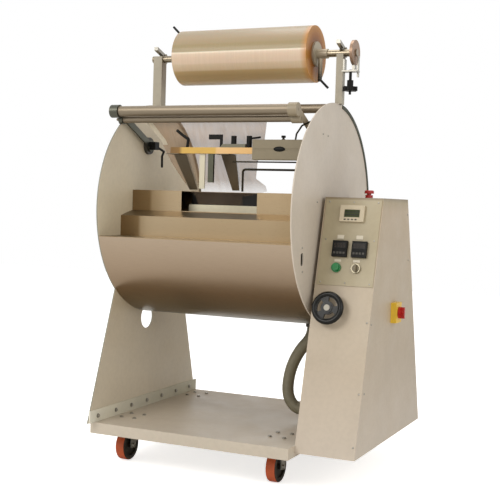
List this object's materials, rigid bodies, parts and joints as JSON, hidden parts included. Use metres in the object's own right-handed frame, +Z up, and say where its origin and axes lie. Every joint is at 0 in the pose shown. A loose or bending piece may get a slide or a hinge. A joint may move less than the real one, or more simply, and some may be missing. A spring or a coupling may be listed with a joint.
{
  "type": "packaging machine",
  "caption": "Mobile film packaging machine: drum with steps and sealing slot between round cheeks, film roll on posts, roller pair, control console, castors.",
  "frame": {"origin": "bottom centre of the whole machine's envelope, on the floor", "axes": "+Z up, -Y towards the operator, +X towards the control console"},
  "size_m": [1.198, 0.9888, 1.8716],
  "materials": {
    "painted": "satin",
    "zinc": "zinc plated",
    "edging": "matt",
    "stainless": "polished",
    "cream_jaw": "satin",
    "dark_jaw": "matt",
    "machined_steel": "machined",
    "wound_film": "glossy",
    "cardboard": "paper tube",
    "black_plastic": "matt",
    "stainless_roller": "polished",
    "panel_face": "satin",
    "grey_plastic": "matt",
    "chrome_ring": "polished",
    "green_button": "glossy",
    "handwheel_black": "gloss",
    "red_button": "glossy",
    "yellow_plate": "satin",
    "brass_bar": "satin",
    "dark_steel": "dark",
    "pale_strip": "satin",
    "beam_paint": "satin",
    "clear_film": "clear film",
    "conduit_skin": "ribbed",
    "wheel_tread": "matt"
  },
  "bodies": {
    "frame": {"base_platform": "painted", "castor_plates": "zinc", "left_cheek": "painted", "right_cheek": "painted", "left_foot_bar": "painted", "rim_trims": "edging", "drum_shell": "stainless", "lower_step": "stainless", "upper_step": "stainless", "rear_steps": "stainless", "front_jaw": "cream_jaw", "rear_jaw": "dark_jaw", "jaw_rails": "machined_steel", "tie_bar": "machined_steel", "roll_posts": "painted", "brake_bracket": "machined_steel", "roller_arms": "machined_steel", "arm_clamps": "black_plastic", "console_cabinet": "painted", "console_spacers": "machined_steel", "control_panel": "panel_face", "display_unit": "grey_plastic", "temperature_controllers": "black_plastic", "button_collars": "chrome_ring", "handwheel_spindle": "machined_steel", "main_switch_plate": "yellow_plate", "collar_bar": "brass_bar", "forming_plates": "dark_steel", "guide_strips": "pale_strip", "carriage_beam": "beam_paint", "clamp_knobs": "black_plastic", "guide_rods": "dark_steel", "film_web": "clear_film", "conduit_glands": "grey_plastic", "service_conduit": "conduit_skin"},
    "roll": {"roll_shaft": "machined_steel", "film_roll": "wound_film", "roll_core": "cardboard", "roll_chucks": "machined_steel", "brake_disc": "machined_steel"},
    "upper_roller": {"upper_roller": "stainless_roller"},
    "lower_roller": {"lower_roller": "stainless_roller"},
    "handwheel": {"handwheel": "handwheel_black"},
    "main_switch": {"main_switch_knob": "red_button"},
    "selector": {"selector_knob": "black_plastic"},
    "start_button": {"start_button": "green_button"},
    "emergency_stop": {"emergency_stop": "red_button"},
    "star_knob": {"star_knob": "black_plastic"},
    "left_latch": {"left_latch": "zinc"},
    "right_latch": {"right_latch": "zinc"},
    "front_left_fork": {"front_left_castor_fork": "zinc"},
    "front_left_wheel": {"front_left_castor_wheel": "wheel_tread"},
    "front_right_fork": {"front_right_castor_fork": "zinc"},
    "front_right_wheel": {"front_right_castor_wheel": "wheel_tread"},
    "rear_left_fork": {"rear_left_castor_fork": "zinc"},
    "rear_left_wheel": {"rear_left_castor_wheel": "wheel_tread"},
    "rear_right_fork": {"rear_right_castor_fork": "zinc"},
    "rear_right_wheel": {"rear_right_castor_wheel": "wheel_tread"}
  },
  "joints": [
    {"name": "roll_spin", "type": "hinge", "parent": "frame", "child": "roll", "pos_m": [-0.137, 0.02961, 1.726], "axis": [1, 0, 0], "continuous": true},
    {"name": "upper_roller_spin", "type": "hinge", "parent": "frame", "child": "upper_roller", "pos_m": [-0.137, -0.33547, 1.4614], "axis": [1, 0, 0], "continuous": true},
    {"name": "lower_roller_spin", "type": "hinge", "parent": "frame", "child": "lower_roller", "pos_m": [-0.137, -0.30147, 1.4304], "axis": [1, 0, 0], "continuous": true},
    {"name": "handwheel_spin", "type": "hinge", "parent": "frame", "child": "handwheel", "pos_m": [0.3855, -0.28911, 0.70078], "axis": [0, -0.9684, 0.2495], "continuous": true},
    {"name": "main_switch_turn", "type": "hinge", "parent": "frame", "child": "main_switch", "pos_m": [0.575, 0.04061, 0.668], "axis": [1, 0, 0], "range_deg": [0, 90]},
    {"name": "selector_turn", "type": "hinge", "parent": "frame", "child": "selector", "pos_m": [0.4715, -0.21766, 0.8538], "axis": [0, -0.9684, 0.2495], "range_deg": [-45, 45]},
    {"name": "start_button_press", "type": "slide", "parent": "frame", "child": "start_button", "axis": [0, 0.9684, -0.2495], "range_m": [0, 0.004], "stiffness_N_per_m": 400},
    {"name": "emergency_stop_press", "type": "slide", "parent": "frame", "child": "emergency_stop", "axis": [0, 0, -1], "range_m": [0, 0.005]},
    {"name": "star_knob_turn", "type": "hinge", "parent": "frame", "child": "star_knob", "pos_m": [0.343, 0.00861, 1.567], "axis": [0, 0, 1], "continuous": true},
    {"name": "left_latch_swing", "type": "hinge", "parent": "frame", "child": "left_latch", "pos_m": [-0.566, 0.06161, 1.746], "axis": [-1, 0, 0], "range_deg": [0, 110]},
    {"name": "right_latch_swing", "type": "hinge", "parent": "frame", "child": "right_latch", "pos_m": [0.292, 0.05561, 1.746], "axis": [-1, 0, 0], "range_deg": [0, 110]},
    {"name": "front_left_castor_swivel", "type": "hinge", "parent": "frame", "child": "front_left_fork", "pos_m": [-0.487, -0.26339, 0.167], "axis": [0, 0, 1], "continuous": true},
    {"name": "front_left_wheel_spin", "type": "hinge", "parent": "front_left_fork", "child": "front_left_wheel", "pos_m": [-0.487, -0.30539, 0.0625], "axis": [1, 0, 0], "continuous": true},
    {"name": "front_right_castor_swivel", "type": "hinge", "parent": "frame", "child": "front_right_fork", "pos_m": [0.198, -0.26339, 0.167], "axis": [0, 0, 1], "continuous": true},
    {"name": "front_right_wheel_spin", "type": "hinge", "parent": "front_right_fork", "child": "front_right_wheel", "pos_m": [0.198, -0.30539, 0.0625], "axis": [1, 0, 0], "continuous": true},
    {"name": "rear_left_castor_swivel", "type": "hinge", "parent": "frame", "child": "rear_left_fork", "pos_m": [-0.487, 0.32361, 0.167], "axis": [0, 0, 1], "continuous": true},
    {"name": "rear_left_wheel_spin", "type": "hinge", "parent": "rear_left_fork", "child": "rear_left_wheel", "pos_m": [-0.487, 0.28161, 0.0625], "axis": [1, 0, 0], "continuous": true},
    {"name": "rear_right_castor_swivel", "type": "hinge", "parent": "frame", "child": "rear_right_fork", "pos_m": [0.198, 0.32361, 0.167], "axis": [0, 0, 1], "continuous": true},
    {"name": "rear_right_wheel_spin", "type": "hinge", "parent": "rear_right_fork", "child": "rear_right_wheel", "pos_m": [0.198, 0.28161, 0.0625], "axis": [1, 0, 0], "continuous": true}
  ]
}
